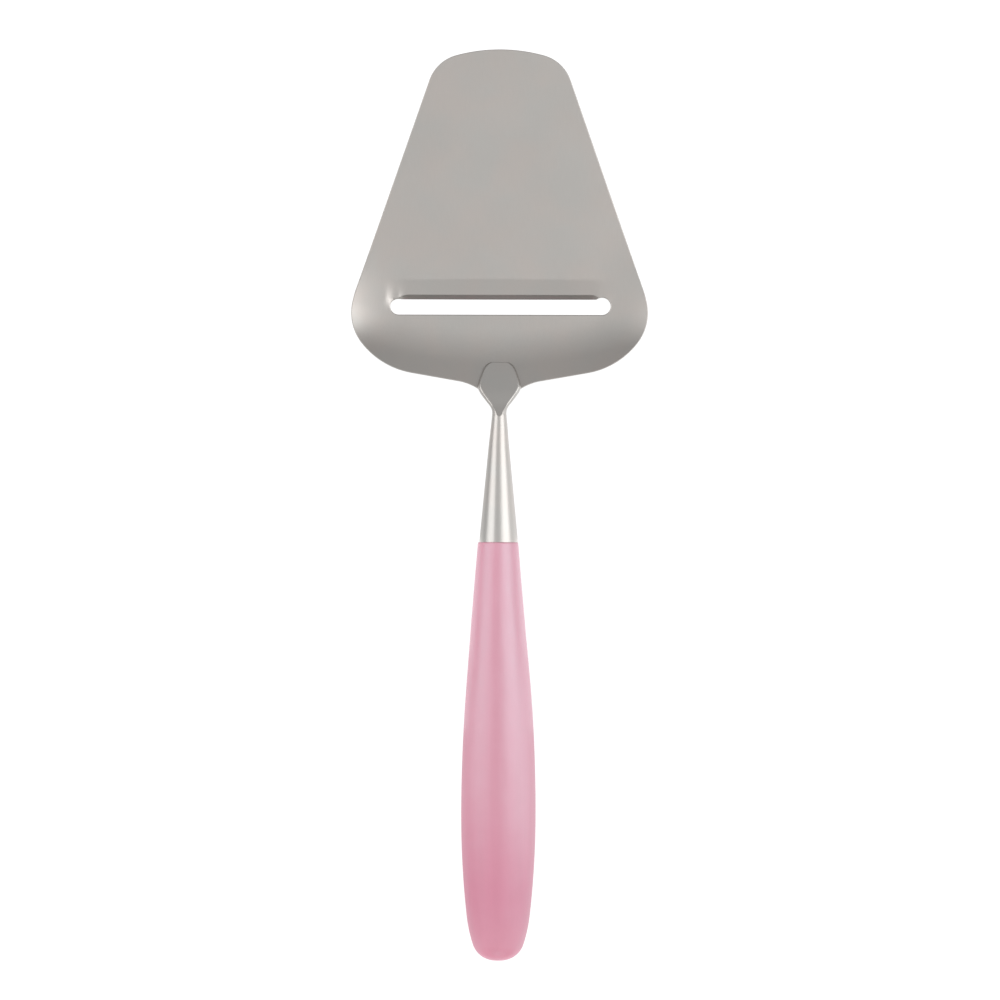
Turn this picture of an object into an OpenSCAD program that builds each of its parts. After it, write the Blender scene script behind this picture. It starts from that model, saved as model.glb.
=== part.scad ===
// Cheese slicer: a pressed steel blade with a cutting slot, spot-welded to a
// forged shaft whose tang is bonded into a turned wooden handle.
// Millimetres. X runs across the blade, +Y from the handle towards the blade's
// tip, +Z up. The origin is on the table, under the middle of the whole tool.
// The cutting lip and the belly of the handle both touch the table.
// Stations "s" are measured backwards from the blade's tip.

/* [Blade outline] */
// Thickness of the blade sheet
blade_t = 1.0; // [0.8:0.05:1.4]
// Radius of the shallow arc across the tip
tip_r = 44; // [40:1:50]
// Sweep of the tip arc to each side of the middle, in degrees
tip_sweep = 15.4; // [14:0.2:17]
// Radius of the tip's two corners
tip_corner_r = 10.4; // [9:0.2:12]
// Angle of each straight side to the middle line, in degrees
side_angle = 19.2; // [17:0.1:21]
// Length of each straight side
side_len = 58.5; // [57:0.1:61]
// Radius where the side starts to turn into the heel
heel_lead_r = 27; // [20:1:32]
// Radius of the widest part of the heel corner
heel_corner_r = 13.2; // [12:0.2:15]
// Radius where the corner runs out into the rear edge
heel_trail_r = 21.4; // [19:0.2:24]
// Slope of the rear edge to the cross direction, in degrees
heel_slope = 9.9; // [8:0.1:12]
// Length of the straight part of each rear edge
heel_edge_len = 12.6; // [11.5:0.1:13.5]
// Radius of the hollow flare that leads into the weld tongue
flare_r = 14; // [13:0.5:15]

/* [Slot and lip] */
// Station of the cutting edge
edge_s = 66.15; // [65.5:0.05:66.7]
// Clear width of the slot behind the cutting edge
slot_gap = 4.2; // [4.1:0.05:4.4]
// Half of the slot's overall length
slot_half = 29.3; // [28:0.1:31]
// Radius of the relief hole at each end of the slot
relief_r = 2.3; // [2.2:0.05:2.5]
// Depth of the pressed lip, from its bend line to its edge
lip_len = 5; // [4:0.1:5.2]
// Drop of the cutting edge below the sole, which sets the slice
lip_drop = 1.5; // [1.2:0.1:1.8]
// Width of the ground bevel on top of the lip
bevel_len = 1.15; // [1.1:0.05:1.6]

/* [Heel bend] */
// Station where the heel starts to bend up
bend_s = 72.5; // [71.5:0.5:74]
// Radius of the bend, on the upper face
bend_r = 27; // [25:1:29]
// Tilt of the heel behind the bend, in degrees
heel_tilt = 20; // [19:0.5:21]

/* [Shaft] */
// Thickness of the flattened paddle
paddle_t = 1.8; // [1.6:0.1:2]
// Widest half-width of the paddle
paddle_half = 5.55; // [5.2:0.05:5.8]
// Radius of the round neck
neck_r = 1.85; // [1.8:0.05:2]
// Station of the neck, where the shaft is thinnest
neck_s = 96.5; // [96:0.1:97]
// Station of the shoulder that meets the handle
shoulder_s = 130.3; // [128:0.1:134]
// Radius of the shaft at the shoulder
shoulder_r = 5; // [4.6:0.05:5]
// Radius of the tang inside the handle
tang_r = 2.5; // [2.2:0.1:2.6]
// Length of the tang
tang_len = 58; // [48:1:64]
// Number of grip grooves turned into the tang
tang_grooves = 4; // [2:1:5]

/* [Weld] */
// Radius of each spot weld
weld_r = 1.6; // [1.2:0.1:1.8]
// Thickness of each spot weld across the joint
weld_t = 0.9; // [0.6:0.1:1]
// Distance between the two spot welds
weld_pitch = 3.8; // [3.7:0.1:4]

/* [Handle] */
// Radius of the handle's front rim
rim_r = 5.2; // [5.05:0.05:5.4]
// Taper of the front part, in degrees
taper = 4.78; // [4.5:0.02:5.2]
// Length of the straight taper
taper_len = 38.5; // [36:0.1:42]
// Radius of the long arc up to the belly
belly_r = 397; // [370:1:410]
// Radius of the arc behind the belly
rear_r = 239; // [220:1:260]
// Sweep of the arc behind the belly, in degrees
rear_sweep = 6.5; // [6:0.1:7]
// Radius of the turn towards the butt
turn_r = 38; // [32:1:42]
// Sweep of the turn towards the butt, in degrees
turn_sweep = 11.8; // [10:0.1:13]
// Radius of the butt's rounded corner
corner_r = 5.6; // [5:0.1:6.2]
// Sweep of the butt's rounded corner, in degrees; a shallow dome closes the end
corner_sweep = 47; // [40:1:52]
// Rounding of the front rim
rim_round = 0.3; // [0.2:0.05:0.4]
// Radius of the blind bore for the tang
bore_r = 2.8; // [2.7:0.05:2.9]
// Length of the adhesive pool behind the tang
pool_len = 2; // [1:0.5:4]

/* [Hidden] */
steel = "#b5b0ac";
pink = "#dda2b4";
$fn = 96;

// ---- outline tools: [x, s] points; a heading turns from +x towards +s ----
function arc_c(p, h, r) = [p[0] - r * sin(h), p[1] + r * cos(h)];
function arc_at(p, h, r, t) = arc_c(p, h, r) + r * [sin(h + t), -cos(h + t)];
function arc_pts(p, h, r, a, n) = [for (i = [1:n]) arc_at(p, h, r, a * i / n)];
function last(v) = v[len(v) - 1];

// ---- blade outline, right half, from the tip's middle to the tongue ----
h_side = 90 - side_angle;
lead_turn = 8.6;
corner_turn = 48.4;
h_edge = 180 - heel_slope;
flare_turn = 30;
seg_tip = arc_pts([0, 0], 0, tip_r, tip_sweep, 8);
seg_cnr = arc_pts(last(seg_tip), tip_sweep, tip_corner_r, h_side - tip_sweep, 14);
p_side = last(seg_cnr) + side_len * [cos(h_side), sin(h_side)];
seg_lead = arc_pts(p_side, h_side, heel_lead_r, lead_turn, 4);
seg_heel = arc_pts(last(seg_lead), h_side + lead_turn, heel_corner_r, corner_turn, 14);
h_trail = h_side + lead_turn + corner_turn;
seg_trail = arc_pts(last(seg_heel), h_trail, heel_trail_r, h_edge - h_trail, 10);
p_edge = last(seg_trail) + heel_edge_len * [cos(h_edge), sin(h_edge)];
seg_flare = arc_pts(p_edge, h_edge, -flare_r, -flare_turn, 8);
half_outline = concat([[0, 0]], seg_tip, seg_cnr, [p_side], seg_lead, seg_heel,
                      seg_trail, [p_edge], seg_flare);
n_half = len(half_outline);
tongue_s = last(half_outline)[1];

// ---- handle profile: [distance behind the rim, radius] ----
hp0 = [0, rim_r];
hp1 = hp0 + taper_len * [cos(taper), sin(taper)];
hs1 = [for (i = [1:12]) arc_at([hp1[0], -hp1[1]], -taper, belly_r, taper * i / 12)];
hp2 = last(hs1);
hs2 = [for (i = [1:10]) arc_at(hp2, 0, rear_r, rear_sweep * i / 10)];
hp3 = last(hs2);
hs3 = [for (i = [1:8]) arc_at(hp3, rear_sweep, turn_r, turn_sweep * i / 8)];
hp4 = last(hs3);
h_turn = rear_sweep + turn_sweep;
hs4 = [for (i = [1:10]) arc_at(hp4, h_turn, corner_r, corner_sweep * i / 10)];
hp5 = last(hs4);
h_butt = h_turn + corner_sweep;
butt_r = -hp5[1] / cos(h_butt);
hs5 = [for (i = [1:8]) arc_at(hp5, h_butt, butt_r, (90 - h_butt) * i / 8)];
handle_len = last(hs5)[0];
handle_r = -hp2[1];

// ---- overall layout ----
total = shoulder_s + handle_len;
function yy(s) = total / 2 - s;
sole_z = lip_drop;
top_z = sole_z + blade_t;
axis_z = handle_r;
bend_end = bend_s + bend_r * sin(heel_tilt);
function heel_top(s) = top_z + bend_r * (1 - cos(heel_tilt)) + (s - bend_end) * tan(heel_tilt);
// the shaft is a straight cone from the neck to the shoulder; the paddle's flat
// top runs up the heel's tilt until it breaks out through the cone's top
cone_k = (shoulder_r - neck_r) / (shoulder_s - neck_s);
function cone_r(s) = shoulder_r - (shoulder_s - s) * cone_k;
function flat_z(s) = heel_top(s) + paddle_t / cos(heel_tilt);
run_out_s = (axis_z + shoulder_r - cone_k * shoulder_s - heel_top(0) - paddle_t / cos(heel_tilt))
            / (tan(heel_tilt) - cone_k);

// ---- blade ----
module outline_prism(h) {
    linear_extrude(height = h)
        polygon(concat([for (p = half_outline) [p[0], yy(p[1])]],
                       [for (i = [n_half - 1:-1:1]) [-half_outline[i][0], yy(half_outline[i][1])]]));
}

// side view of the sheet as [s, z] points: flat sole, bend, straight heel
bend_n = 12;
run_out = 12;
sheet_top = concat([[-2, top_z]],
    [for (i = [0:bend_n]) let (a = heel_tilt * i / bend_n)
        [bend_s + bend_r * sin(a), top_z + bend_r * (1 - cos(a))]],
    [[bend_end + run_out, heel_top(bend_end + run_out)]]);
bend_out = bend_r + blade_t;
sheet_bot = concat([[-2, sole_z]],
    [for (i = [0:bend_n]) let (a = heel_tilt * i / bend_n)
        [bend_s + bend_out * sin(a), sole_z + bend_out * (1 - cos(a))]],
    [[bend_end + run_out + blade_t * sin(heel_tilt),
      heel_top(bend_end + run_out) - blade_t * cos(heel_tilt)]]);
module sheet_strip() {
    // polygon in [y, z], pushed along X
    translate([-60, 0, 0]) rotate([90, 0, 90]) linear_extrude(height = 120)
        polygon(concat([for (p = sheet_top) [yy(p[0]), p[1]]],
                       [for (i = [len(sheet_bot) - 1:-1:0]) [yy(sheet_bot[i][0]), sheet_bot[i][1]]]));
}

// pressed lip: one bent-down profile along the middle, drawn out at each end
// into the flat sheet
lip_half = slot_half - relief_r - 0.35;
lip_fade = 4;
lip_mid = lip_half - lip_fade;
lip_lap = 0.3;
lip_front = edge_s - lip_len;
// [y, z] section of the lip; k = 1 is fully pressed, k = 0 is flat
function lip_profile(k) = let (d = lip_drop * k, b = 0.2 + (bevel_len - 0.2) * k, c = blade_t * (0.2 + 0.7 * k),
                               f = (lip_len - b) / lip_len) [
    [yy(lip_front - lip_lap), top_z],
    [yy(edge_s - b), top_z - d * f],
    [yy(edge_s), top_z - d - c],
    [yy(edge_s), sole_z - d],
    [yy(lip_front - lip_lap), sole_z]];
module lip_slab(x, w, k) {
    translate([x, 0, 0]) rotate([90, 0, 90]) linear_extrude(height = w) polygon(lip_profile(k));
}
module lip() {
    lip_slab(-lip_mid, 2 * lip_mid, 1);
    for (m = [0, 1]) mirror([m, 0, 0]) hull() {
        lip_slab(lip_mid - 0.02, 0.02, 1);
        lip_slab(lip_half + 0.28, 0.02, 0);
    }
}

// closed skin over a list of rings that all have the same number of points
module loft(rings) {
    m = len(rings[0]);
    n = len(rings);
    pts = [for (r = rings) for (p = r) p];
    sides = [for (i = [0:n - 2]) for (j = [0:m - 1]) let (k = (j + 1) % m)
        each [[i * m + j, (i + 1) * m + j, (i + 1) * m + k], [i * m + j, (i + 1) * m + k, i * m + k]]];
    polyhedron(points = pts,
               faces = concat(sides, [[for (j = [0:m - 1]) j]],
                              [[for (j = [m - 1:-1:0]) (n - 1) * m + j]]),
               convexity = 6);
}

module blade() {
    color(steel) difference() {
        union() {
            difference() {
                intersection() {
                    outline_prism(30);
                    sheet_strip();
                }
                // window for the pressed lip and the open slot behind it
                translate([-lip_half, yy(edge_s + 0.2), -1]) cube([2 * lip_half, lip_len + 0.2, 8]);
                translate([relief_r - slot_half, yy(edge_s + slot_gap), -1])
                    cube([2 * (slot_half - relief_r), slot_gap, 8]);
            }
            lip();
        }
        for (m = [-1, 1])
            translate([m * (slot_half - relief_r), yy(edge_s + slot_gap - relief_r), -1]) cylinder(r = relief_r, h = 8);
        spot_weld_pair();
    }
}

// ---- shaft ----
// half-width of the forged paddle: square-ended front, widest near the blade's
// rear edge, then drawn in to the round neck
paddle_s = 83.1;
function paddle_w(s) = let (g = paddle_half) s > run_out_s ? cone_r(s) - 0.03 : lookup(s, [
    [paddle_s, 0.43 * g], [paddle_s + 0.15, 0.48 * g], [paddle_s + 0.5, 0.56 * g], [paddle_s + 1.2, 0.65 * g],
    [paddle_s + 3, 0.82 * g], [paddle_s + 5, 0.95 * g], [paddle_s + 6, 0.99 * g], [paddle_s + 6.5, g],
    [paddle_s + 7, 0.97 * g], [paddle_s + 8, 0.87 * g], [paddle_s + 9.5, 0.71 * g], [paddle_s + 10.3, 0.6 * g],
    [paddle_s + 11.1, 0.48 * g], [paddle_s + 12, 0.41 * g], [neck_s, neck_r], [run_out_s, cone_r(run_out_s) - 0.03]]);
function ease(t) = let (u = min(1, max(0, t))) u * u * (3 - 2 * u);
// 0 on the paddle, 1 on the round shaft
function round_k(s) = ease((s - tongue_s - 0.3) / (run_out_s - tongue_s - 0.3));
function mix(a, b, k) = a + (b - a) * k;
// the paddle's front end is rounded over
function nose_k(s) = let (e = paddle_t / 2, d = min(e, s - paddle_s)) max(0.3, sqrt(1 - pow((e - d) / e, 2)));
function ring_top(s) = s < run_out_s ? flat_z(s) : axis_z + cone_r(s) - 0.03;
function ring_low(s) = mix(heel_top(s), axis_z - cone_r(s) + 0.03, round_k(s));
function ring_flat(s) = max(0.06, (paddle_w(s) - paddle_t / 2) * (1 - ease((s - run_out_s + 4) / 4)));
// one closed section across the shaft: flat top, rounded edges, flat or round underside
ring_q = 6;
function paddle_ring(s) = let (w = paddle_w(s), c = ring_flat(s), zt = ring_top(s), zb = ring_low(s),
                               zm = mix((zt + zb) / 2, axis_z, round_k(s)), k = nose_k(s),
                               up = (zt - zm) * k, dn = (zm - zb) * k, y = yy(s),
                               quad = [for (i = [0:ring_q]) [c + (w - c) * cos(90 * i / ring_q), sin(90 * i / ring_q)]])
    concat([for (i = [0:ring_q]) [quad[i][0], y, zm + up * quad[i][1]]],
           [for (i = [ring_q:-1:0]) [-quad[i][0], y, zm + up * quad[i][1]]],
           [for (i = [1:ring_q]) [-quad[i][0], y, zm - dn * quad[i][1]]],
           [for (i = [ring_q:-1:1]) [quad[i][0], y, zm - dn * quad[i][1]]]);
paddle_stations = concat([for (d = [0, 0.15, 0.5, 0.9, 1.2, 2.1, 3]) paddle_s + d], [for (i = [0:5]) paddle_s + 4 + 0.5 * i],
                         [for (i = [0:9]) paddle_s + 7 + 0.5 * i],
                         [for (i = [1:5]) mix(paddle_s + 11.5, run_out_s, i / 5)], [run_out_s + 0.9]);
cone_s = run_out_s + 0.3;
module shaft_turned() {
    // lathe profile along the axis, from the neck to the end of the tang
    g0 = tang_len * 0.2;
    gp = tang_len * 0.7 / max(1, tang_grooves);
    gd = 0.45;
    groove_pts = [for (i = [0:tang_grooves - 1]) let (u = shoulder_s + g0 + gp * i)
        each [[tang_r, u], [tang_r - gd, u + 0.45], [tang_r - gd, u + 1.6], [tang_r, u + 2.05]]];
    translate([0, total / 2, axis_z]) rotate([90, 0, 0]) rotate_extrude()
        polygon(concat([[0, cone_s], [cone_r(cone_s), cone_s], [cone_r(shoulder_s - 0.35), shoulder_s - 0.35],
                        [cone_r(shoulder_s - 0.15), shoulder_s - 0.15], [shoulder_r - 0.15, shoulder_s], [tang_r, shoulder_s]],
                       groove_pts,
                       [[tang_r, shoulder_s + tang_len - 0.8], [tang_r - 0.8, shoulder_s + tang_len], [0, shoulder_s + tang_len]]));
}
module shaft() {
    color(steel) difference() {
        union() {
            loft([for (u = paddle_stations) paddle_ring(u)]);
            shaft_turned();
        }
        spot_weld_pair();
    }
}

// ---- spot welds: two nuggets half in the blade and half in the paddle ----
weld_mid = paddle_s + 4.2;
module spot_weld_pair() {
    for (m = [-1, 1]) let (s = weld_mid + m * weld_pitch / 2)
        translate([0, yy(s), heel_top(s)]) rotate([-heel_tilt, 0, 0])
            cylinder(r = weld_r, h = weld_t, center = true);
}
module spot_welds() {
    color("#8d8986") spot_weld_pair();
}

// ---- handle ----
module handle_turned() {
    // the rim is rounded by a small quarter arc
    rim = [for (i = [0:6]) let (a = 90 * i / 6) [rim_r - rim_round + rim_round * sin(a), rim_round - rim_round * cos(a)]];
    translate([0, yy(shoulder_s), axis_z]) rotate([90, 0, 0]) rotate_extrude()
        polygon(concat([[0, 0]], rim, [[hp1[1], hp1[0]]],
                       [for (p = concat(hs1, hs2, hs3, hs4)) [-p[1], p[0]]],
                       [for (i = [0:6]) [-hs5[i][1], hs5[i][0]]], [[0, handle_len]]));
}
module bore_hole() {
    translate([0, yy(shoulder_s), axis_z]) rotate([90, 0, 0]) cylinder(r = bore_r, h = tang_len + pool_len);
}
module handle() {
    color(pink) difference() {
        handle_turned();
        bore_hole();
    }
}

// ---- adhesive that fills the bore around and behind the tang ----
module tang_adhesive() {
    color("#d9c48f") difference() {
        bore_hole();
        shaft_turned();
    }
}

blade();
shaft();
spot_welds();
tang_adhesive();
handle();
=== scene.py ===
import math

import bpy
import numpy as np
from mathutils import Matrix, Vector
from mathutils.geometry import delaunay_2d_cdt
from mathutils.kdtree import KDTree


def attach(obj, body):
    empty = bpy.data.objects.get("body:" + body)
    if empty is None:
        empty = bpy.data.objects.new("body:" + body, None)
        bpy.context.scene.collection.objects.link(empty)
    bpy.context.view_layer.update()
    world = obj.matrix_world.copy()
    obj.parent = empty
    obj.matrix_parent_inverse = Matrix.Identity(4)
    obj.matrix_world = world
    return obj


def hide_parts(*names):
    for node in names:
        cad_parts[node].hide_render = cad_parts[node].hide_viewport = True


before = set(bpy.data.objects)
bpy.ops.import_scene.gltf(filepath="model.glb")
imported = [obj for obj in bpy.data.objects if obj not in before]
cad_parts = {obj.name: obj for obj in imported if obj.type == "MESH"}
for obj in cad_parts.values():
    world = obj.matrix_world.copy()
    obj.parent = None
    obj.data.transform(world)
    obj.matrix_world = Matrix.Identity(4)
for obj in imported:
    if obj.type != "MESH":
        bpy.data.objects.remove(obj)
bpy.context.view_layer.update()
MM = 0.001


# ----------------------------------------------------------------------------
# Dimensions in millimetres: the construction model's, some of them set finer by
# a few tenths. Stations "s" run back from the blade's tip; y = TOTAL / 2 - s.
# ----------------------------------------------------------------------------
BLADE_T = 1.0
EDGE_S, SLOT_GAP, RELIEF_R = 66.24, 4.11, 2.3
SLOT_LEFT, SLOT_RIGHT, LEFT_UP = 29.0, 29.46, 1.88  # the left relief is flatter towards the lip
LIP_DROP, BEVEL_LEN = 1.5, 1.2
BEND_S, TILT, PRE_TILT, PRE_S = 73.84, math.radians(20.0), math.radians(3.0), 68.5
PADDLE_T, PADDLE_S = 1.8, 83.1
NECK_S, NECK_R = 96.5, 1.84
SHOULDER_S, SHOULDER_R = 130.3, 5.11
SEAM = 0.28  # the handle's rim shows this far behind the shoulder's station
TANG_R, TANG_LEN, TANG_GROOVES = 2.5, 58.0, 4
BORE_R, POOL_LEN = 2.8, 2.0
RIM_R, RIM_ROUND, TAPER = 5.28, 0.35, math.radians(4.79)


def turn(p, h, r, a, n):
    """Points and headings along an arc; headings turn from +x towards +s."""
    c = np.array([p[0] - r * math.sin(h), p[1] + r * math.cos(h)])
    t = h + a * np.arange(1, n + 1) / n
    return c + r * np.stack([np.sin(t), -np.cos(t)], 1), t


def ease(t):
    u = np.clip(t, 0.0, 1.0)
    return u * u * (3.0 - 2.0 * u)


# ---- handle profile: distance behind the rim, radius ----
def handle_profile():
    tp = TAPER
    pts = [np.array([0.0, -RIM_R])]
    n = 40
    for i in range(1, n + 1):
        d = 36.1 * i / n
        pts.append(np.array([d * math.cos(tp), -RIM_R - d * math.sin(tp)]))
    h = -tp
    for r, a, n in ((430.0, tp, 34), (238.6, math.radians(6.4), 28), (38.0, math.radians(11.7), 16),
                    (6.1, math.radians(64.0), 28)):
        arc, _ = turn(pts[-1], h, r, a, n)
        pts += list(arc)
        h += a
    r = -pts[-1][1] / math.cos(h)
    arc, _ = turn(pts[-1], h, r, math.pi / 2 - h, 14)
    pts += list(arc)
    p = np.array(pts)
    return np.stack([p[:, 0], -p[:, 1]], 1)


PROFILE = handle_profile()
HANDLE_LEN = float(PROFILE[-1, 0])
AXIS_Z = float(PROFILE[:, 1].max())
TOTAL = SHOULDER_S + HANDLE_LEN
SOLE_Z = LIP_DROP
TOP_Z = SOLE_Z + BLADE_T
SEAT_S = 77.26  # where the heel's straight part would meet the flat
BEND_LEN = 9.79


def yy(s):
    return TOTAL / 2 - s


def heel_top(s):
    return TOP_Z + (s - SEAT_S) * math.tan(TILT)


# ----------------------------------------------------------------------------
# Small mesh helpers
# ----------------------------------------------------------------------------
def make_object(name, verts, faces, uvs=None, smooth=True):
    """verts in mm; uvs is one (u, v) per face corner, in face order."""
    used = np.unique(np.concatenate([np.asarray(f) for f in faces]))
    number = np.full(len(verts), -1)
    number[used] = np.arange(len(used))
    verts, faces = [verts[i] for i in used], [[int(number[i]) for i in f] for f in faces]
    me = bpy.data.meshes.new(name)
    me.from_pydata([tuple(float(c) * MM for c in v) for v in verts], [], faces)
    me.update()
    if uvs is not None:
        layer = me.uv_layers.new(name="OFBake")
        layer.data.foreach_set("uv", np.asarray(uvs, dtype=np.float32).ravel())
    if smooth:
        me.polygons.foreach_set("use_smooth", [True] * len(me.polygons))
    me.validate()
    ob = bpy.data.objects.new(name, me)
    bpy.context.scene.collection.objects.link(ob)
    return ob


def inside(poly, pts):
    """Even-odd test of many points against one closed polygon."""
    res = np.zeros(len(pts), bool)
    x, y = pts[:, 0], pts[:, 1]
    for (x0, y0), (x1, y1) in zip(poly, np.roll(poly, -1, 0)):
        if y0 == y1:
            continue
        hit = (y0 > y) != (y1 > y)
        res ^= hit & (x < x0 + (y - y0) * (x1 - x0) / (y1 - y0))
    return res


def near(poly, pts):
    """Distance from each point to the closest vertex of a dense polygon."""
    kd = KDTree(len(poly))
    for i, p in enumerate(poly):
        kd.insert((p[0], p[1], 0.0), i)
    kd.balance()
    return np.array([kd.find((p[0], p[1], 0.0))[2] for p in pts])


# ----------------------------------------------------------------------------
# Blade
# ----------------------------------------------------------------------------
def blade_outline():
    """Closed outline of [x, s] and outward normals, tip first, clockwise."""
    side = math.radians(90 - 19.2)
    edge_h = math.radians(180 - 9.9)
    pts, hs = [np.array([0.0, 0.0])], [0.0]

    def arc(r, a, n):
        p, t = turn(pts[-1], hs[-1], r, a, n)
        pts.extend(p)
        hs.extend(t)

    def line(length, n):
        d = np.array([math.cos(hs[-1]), math.sin(hs[-1])])
        p0 = pts[-1]
        for i in range(1, n + 1):
            pts.append(p0 + d * length * i / n)
            hs.append(hs[-1])

    arc(44.0, math.radians(15.4), 20)
    arc(10.4, side - hs[-1], 28)
    line(58.6, 64)
    arc(27.0, math.radians(8.6), 8)
    arc(13.2, math.radians(48.4), 28)
    arc(21.4, edge_h - hs[-1], 30)
    line(12.6, 18)
    arc(-14.0, math.radians(-30.0), 16)
    arc(0.9, math.pi - hs[-1], 8)
    line(pts[-1][0] - 0.35, 6)
    p, h = np.array(pts), np.array(hs)
    n = np.stack([np.sin(h), -np.cos(h)], 1)
    pl, nl = p[::-1][:-1] * [-1, 1], n[::-1][:-1] * [-1, 1]
    return np.vstack([p, pl]), np.vstack([n, nl])


def relief(end, up, n=54):
    """The relief at one end of the slot, drawn as if on the right, from the lip round to the
    straight side: points, normals into the gap and edge radii."""
    cx, cs = end - RELIEF_R, EDGE_S + SLOT_GAP - RELIEF_R
    a0 = math.asin((cs - EDGE_S) / up) - math.pi
    arc = []
    for i in range(n + 1):
        a = a0 + (math.pi / 2 - a0) * i / n
        v = up if a < 0 else RELIEF_R
        ca, sa = math.cos(a), math.sin(a)
        k = math.hypot(v * ca, RELIEF_R * sa)
        arc.append(((cx + RELIEF_R * ca, cs + v * sa), (-v * ca / k, -RELIEF_R * sa / k),
                    0.03 + 0.21 * float(ease(i / 16 - 0.1))))
    return arc


def slot_outline():
    """Closed outline of the slot, its normals into the gap, and the edge radius."""
    left, right = relief(SLOT_LEFT, LEFT_UP), relief(SLOT_RIGHT, RELIEF_R)
    pts, nrm, rad = [], [], []
    x0, x1, n = -left[0][0][0], right[0][0][0], 150
    for i in range(n):
        pts.append((x0 + (x1 - x0) * i / n, EDGE_S))
        nrm.append((0, 1))
        rad.append(0.03)
    for p, q, r in right:
        pts.append(p)
        nrm.append(q)
        rad.append(r)
    x0, x1, n = right[-1][0][0], -left[-1][0][0], 90
    for i in range(1, n):
        pts.append((x0 + (x1 - x0) * i / n, EDGE_S + SLOT_GAP))
        nrm.append((0, -1))
        rad.append(0.24)
    for p, q, r in reversed(left[1:]):
        pts.append((-p[0], p[1]))
        nrm.append((-q[0], q[1]))
        rad.append(r)
    return np.array(pts), np.array(nrm, float), np.array(rad)


BOW_R = 105.0


def past_bend(x, s):
    """Distance past the bend line, which bows round the heel."""
    return np.hypot(x, s - (BEND_S - BOW_R)) - BOW_R


def heel_gain(x):
    """Slope added by the bend; a little more towards the corners."""
    a = np.abs(x)
    return (math.tan(TILT) - math.tan(PRE_TILT)) * (1 + 0.14 * ease((a - 12.0) / 18.0) + 0.06 * ease((a - 24.0) / 10.0))


def heel_rise(x, s):
    u = past_bend(x, s)
    v = np.clip(u, 0, BEND_LEN)
    bend = heel_gain(x) * (v ** 2 / (2 * BEND_LEN) + np.maximum(u - BEND_LEN, 0))
    e = np.clip(s - PRE_S + 1.5, 0, 3.0)
    early = math.tan(PRE_TILT) * (e ** 2 / 6.0 + np.maximum(s - PRE_S - 1.5, 0))
    return bend + early


def heel_angle(x, s):
    slope = heel_gain(x) * np.clip(past_bend(x, s) / BEND_LEN, 0, 1)
    return np.arctan(slope + math.tan(PRE_TILT) * np.clip((s - PRE_S + 1.5) / 3.0, 0, 1))


def side_rise(x, s):
    """The two wide corners beside the slot curl up a little."""
    v = np.maximum(np.abs(x) - 25.5, 0)
    along = ease((s - 44.0) / 24.0) * (1 - ease((s - 68.0) / 11.0))
    return v ** 2 / 140.0 * along


LIP_SLOPE = 0.32
LIP_BEND0, LIP_BEND1 = 60.5, 61.5


def lip_bow(x):
    """The press goes deepest in the middle of the edge."""
    return 1 - 0.45 * np.sin(np.pi / 2 * np.clip(np.abs(x) / 27.0, 0, 1)) ** 2


def lip_fade(x, s):
    """The pressed lip runs out at its ends in two steps, which spread away from the edge;
    the steps are softer on the right."""
    a, away = np.abs(x), np.clip(EDGE_S - s, 0, 5.0)
    w0 = np.where(x > 0, 2.3, 1.2) + 0.16 * away
    w1 = np.where(x > 0, 1.3, 0.65) + 0.3 * away
    outer = ease((29.2 - 0.5 * (w0 - 1.2) + w0 - a) / (2 * w0))
    inner = ease((26.1 - 0.3 * (w1 - 0.65) + w1 - a) / (2 * w1))
    return lip_bow(x) * (0.48 * outer + 0.52 * inner)


def lip_back(x, s):
    """The press dies away behind the edge."""
    return 1 - ease((s - EDGE_S) / 3.2)


def lip_depth(x, s):
    """Drop of the pressed lip, before it fades out at the ends."""
    w = LIP_BEND1 - LIP_BEND0
    u = np.clip((s - LIP_BEND0) / w, 0, 1)
    soft = w * (u ** 3 - u ** 4 / 2)
    full = soft + np.maximum(s - LIP_BEND1, 0)
    flat_end = np.minimum(full, EDGE_S - LIP_BEND1 + w / 2)
    # the press flattens slightly towards the edge
    return LIP_SLOPE * (flat_end - 0.012 * flat_end ** 2) * lip_back(x, s)


LIP_END = float(lip_depth(np.array(0.0), np.array(EDGE_S)))
EDGE_SLOPE = LIP_DROP / LIP_END * LIP_SLOPE * (1 - 0.024 * (EDGE_S - LIP_BEND1 + 0.5))


def sheet_z(x, s):
    """Upper face of the sheet before the bevel is ground."""
    k = LIP_DROP / LIP_END
    return TOP_Z + heel_rise(x, s) + side_rise(x, s) - k * lip_fade(x, s) * lip_depth(x, s)


def bevel_k(x):
    return ease((28.2 - np.abs(x)) / 4.0)


def bevel_z(x, s):
    edge = sheet_z(x, np.full_like(s, EDGE_S)) - 0.98 * BLADE_T * bevel_k(x)
    slope = EDGE_SLOPE * lip_fade(x, np.full_like(s, EDGE_S)) + 0.98 * BLADE_T / BEVEL_LEN
    return edge + (EDGE_S - s) * slope


def top_z(x, s):
    a = sheet_z(x, s)
    b = np.where(s < EDGE_S + 0.3, bevel_z(x, s), 1e3)
    b = np.where(np.abs(x) < 28.2, b, 1e3)
    # a hair of rounding where the bevel starts
    d = np.clip((b - a) / 0.03, -1, 1)
    return np.where(d >= 1, a, np.where(d <= -1, b, np.minimum(a, b) - 0.03 * (1 - np.abs(d)) ** 2 / 4))


WELD_S = (PADDLE_S + 4.2 - 1.9, PADDLE_S + 4.2 + 1.9)


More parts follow.
